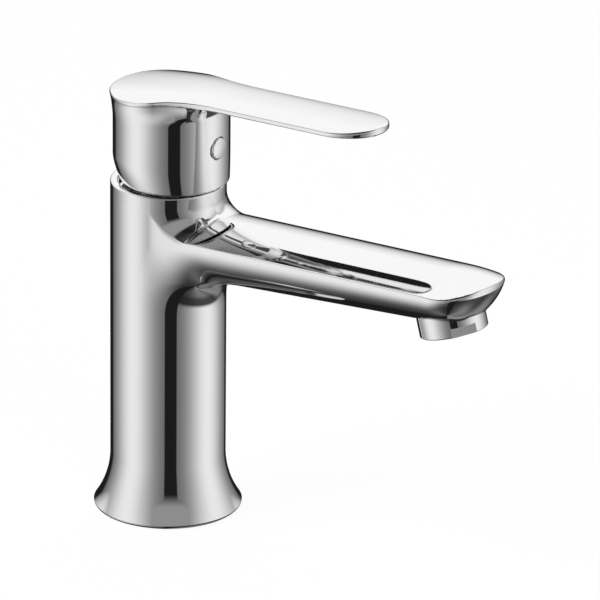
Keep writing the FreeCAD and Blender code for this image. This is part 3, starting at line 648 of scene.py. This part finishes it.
def arc(x, z, radius, start, stop, count):
    """Points on an arc from one angle to another, both in degrees."""
    turns = [math.radians(start + (stop - start) * n / count) for n in range(count + 1)]
    return [(x + radius * math.cos(turn), z + radius * math.sin(turn)) for turn in turns]


# Pieces

MILLIMETRE, SHARP = 0.001, math.radians(32)
BODY_X = steps((-23.1, 149.8, 0.7))
BODY_HALF = steps((0.35, 17.9, 0.7), (17.9, 20.9, 0.3), (20.9, 23.7, 0.7))
BODY_Z = steps((74, 92, 1.0), (92, 113.6, 0.6), (113.6, 117.2, 0.3), (117.2, 131.4, 0.6))
LEVER_X = steps((-24.2, 27.4, 0.6), (27.4, 99.8, 0.8))
LEVER_HALF = steps((0.2, 5.6, 0.36), (5.6, 13.2, 0.7), (13.2, 15.4, 0.35), (15.4, 22.4, 0.7))
LEVER_Z = steps(
    (132.4, 135, 0.4), (135, 144.4, 0.8), (144.4, 154.6, 0.4), (154.6, 164.2, 0.8), (164.2, 176.4, 0.33),
)
PLUG_POINTS = 64
FOOT_RADIUS, FOOT_LIP = 28.3, 1.5
FOOT_SWEEP, FOOT_TOP, FOOT_TURN = 36.503, 22.0, 34.15
GROOVE_OUTER, GROOVE_INNER, GROOVE_DEPTH = 25.5, 21.5, 2.0
CAVITY_RADIUS, CAVITY_TOP = 17.5, 76.0
INLET_X, INLET_Y, INLET_RADIUS, INLET_DEPTH = -4.0, 6.2, 4.5, 11.0
STUD_X, STUD_RADIUS, STUD_DEPTH = 9.5, 3.4, 14.0
HOLES = (
    (INLET_X, INLET_Y, INLET_RADIUS, INLET_DEPTH),
    (INLET_X, -INLET_Y, INLET_RADIUS, INLET_DEPTH),
    (STUD_X, 0, STUD_RADIUS, STUD_DEPTH),
)
RIM, RIM_ROUND = 132.2, 0.8
OPENING_RADIUS, OPENING_FLOOR, OPENING_ROUND = 19.2, 127.0, 0.5
NUT_RADIUS, NUT_SEAT = 18.6, 119.5
CHAMBER_RADIUS, CHAMBER_FLOOR = 17.7, 107.0


def casting(name, mesh, normals, body, node):
    """Chrome piece from a mesh in millimetres; the given normals are those of its first points."""
    bmesh.ops.scale(mesh, vec=(MILLIMETRE, MILLIMETRE, MILLIMETRE), verts=mesh.verts)
    data = bpy.data.meshes.new(name)
    mesh.to_mesh(data)
    mesh.free()
    data.polygons.foreach_set("use_smooth", [True] * len(data.polygons))
    data.set_sharp_from_angle(angle=SHARP)
    corner = np.empty(len(data.loops), dtype=int)
    data.loops.foreach_get("vertex_index", corner)
    given = np.zeros((len(data.vertices), 3))
    given[:len(normals)] = normals
    data.normals_split_custom_set(given[corner])
    piece = bpy.data.objects.new(name, data)
    bpy.context.scene.collection.objects.link(piece)
    data.materials.append(FINISHES["chrome"])
    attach(piece, body)
    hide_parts(node)


def make_lever():
    mesh, normals = cast(lever_skin, lattice(LEVER_X, LEVER_HALF, LEVER_Z))
    casting("lever_casting", mesh, normals, "lever", "lever_handle")


def make_plug():
    """Domed button over the screw hole, turned about its own level axis."""
    mesh = bmesh.new()
    profile = [(PLUG_FACE - PLUG_DOME * radius * radius, radius) for radius in PLUG_DOME_RINGS]
    for turn in PLUG_EDGE_TURNS:
        inset = PLUG_EDGE - PLUG_EDGE * math.cos(turn)
        profile.append((PLUG_EDGE_X + PLUG_EDGE * math.sin(turn), PLUG_RADIUS - inset))
    profile.append((PLUG_BACK, PLUG_RADIUS))
    rows = []
    for x, radius in profile:
        ring = [(x, radius * math.cos(a), PLUG_Z + radius * math.sin(a)) for a in circle_turns(PLUG_POINTS)]
        rows.append([mesh.verts.new(place) for place in ring])
    for inner, outer in zip(rows, rows[1:]):
        for n in range(PLUG_POINTS):
            mesh.faces.new((inner[n - 1], outer[n - 1], outer[n], inner[n]))
    mesh.faces.new(rows[0])
    mesh.faces.new(rows[-1][::-1])
    bmesh.ops.recalc_face_normals(mesh, faces=mesh.faces)
    casting("index_button", mesh, np.zeros((0, 3)), "lever", "index_plug")


def close_foot(mesh, edges):
    """Flared foot with the seal groove, the hose cavity and the holes in its roof."""
    foot = arc(COLUMN + FOOT_SWEEP, FOOT_TOP, FOOT_SWEEP, 180, 180 + FOOT_TURN, 24)
    lip = arc(FOOT_RADIUS - FOOT_LIP, FOOT_LIP, FOOT_LIP, 0, -90, 8)
    groove = [(GROOVE_OUTER, 0), (GROOVE_OUTER, GROOVE_DEPTH), (GROOVE_INNER, GROOVE_DEPTH)]
    cavity = [(GROOVE_INNER, 0), (CAVITY_RADIUS, 0), (CAVITY_RADIUS, CAVITY_TOP)]
    mouths = ring_edges(mesh, turn_down(mesh, ring_points(edges), foot + lip + groove + cavity))
    for x, y, radius, depth in HOLES:
        mouths += blind_hole(mesh, x, y, radius, CAVITY_TOP, CAVITY_TOP + depth)
    bmesh.ops.triangle_fill(mesh, use_beauty=True, edges=mouths)


def close_rim(mesh, edges):
    """Rounded rim with the cartridge's opening, nut seat and chamber."""
    rim = arc(COLUMN - RIM_ROUND, RIM - RIM_ROUND, RIM_ROUND, 0, 90, 5)
    mouth = arc(OPENING_RADIUS + OPENING_ROUND, RIM - OPENING_ROUND, OPENING_ROUND, 90, 180, 4)
    opening = [(OPENING_RADIUS, OPENING_FLOOR), (NUT_RADIUS, OPENING_FLOOR), (NUT_RADIUS, NUT_SEAT)]
    chamber = [(CHAMBER_RADIUS, NUT_SEAT), (CHAMBER_RADIUS, CHAMBER_FLOOR)]
    floor = turn_down(mesh, ring_points(edges)[::-1], rim + mouth + opening + chamber)
    mesh.faces.new(floor[::-1])


def make_body():
    mesh, normals = cast(body_skin, lattice(BODY_X, BODY_HALF, BODY_Z, DECK_TILT))
    open_edges = [edge for edge in mesh.edges if edge.is_boundary]
    low = [edge for edge in open_edges if edge.verts[0].co.z < DECK]
    high = [edge for edge in open_edges if edge.verts[0].co.z > DECK]
    close_foot(mesh, low)
    close_rim(mesh, high)
    bmesh.ops.recalc_face_normals(mesh, faces=mesh.faces)
    casting("body_casting", mesh, normals, "mixer", "faucet_body")


def dress():
    """Give each solid the finish of its slot."""
    slots = {row["node"]: row["material_slot"] for row in frame["record"]["subparts"]}
    for node, obj in frame["nodes"].items():
        obj.data.materials.clear()
        obj.data.materials.append(FINISHES[slots[node]])


make_camera()
make_studio()
make_floor()
make_lamps()
dress()
make_body()
make_lever()
make_plug()

bpy.context.scene.view_settings.view_transform = "Standard"
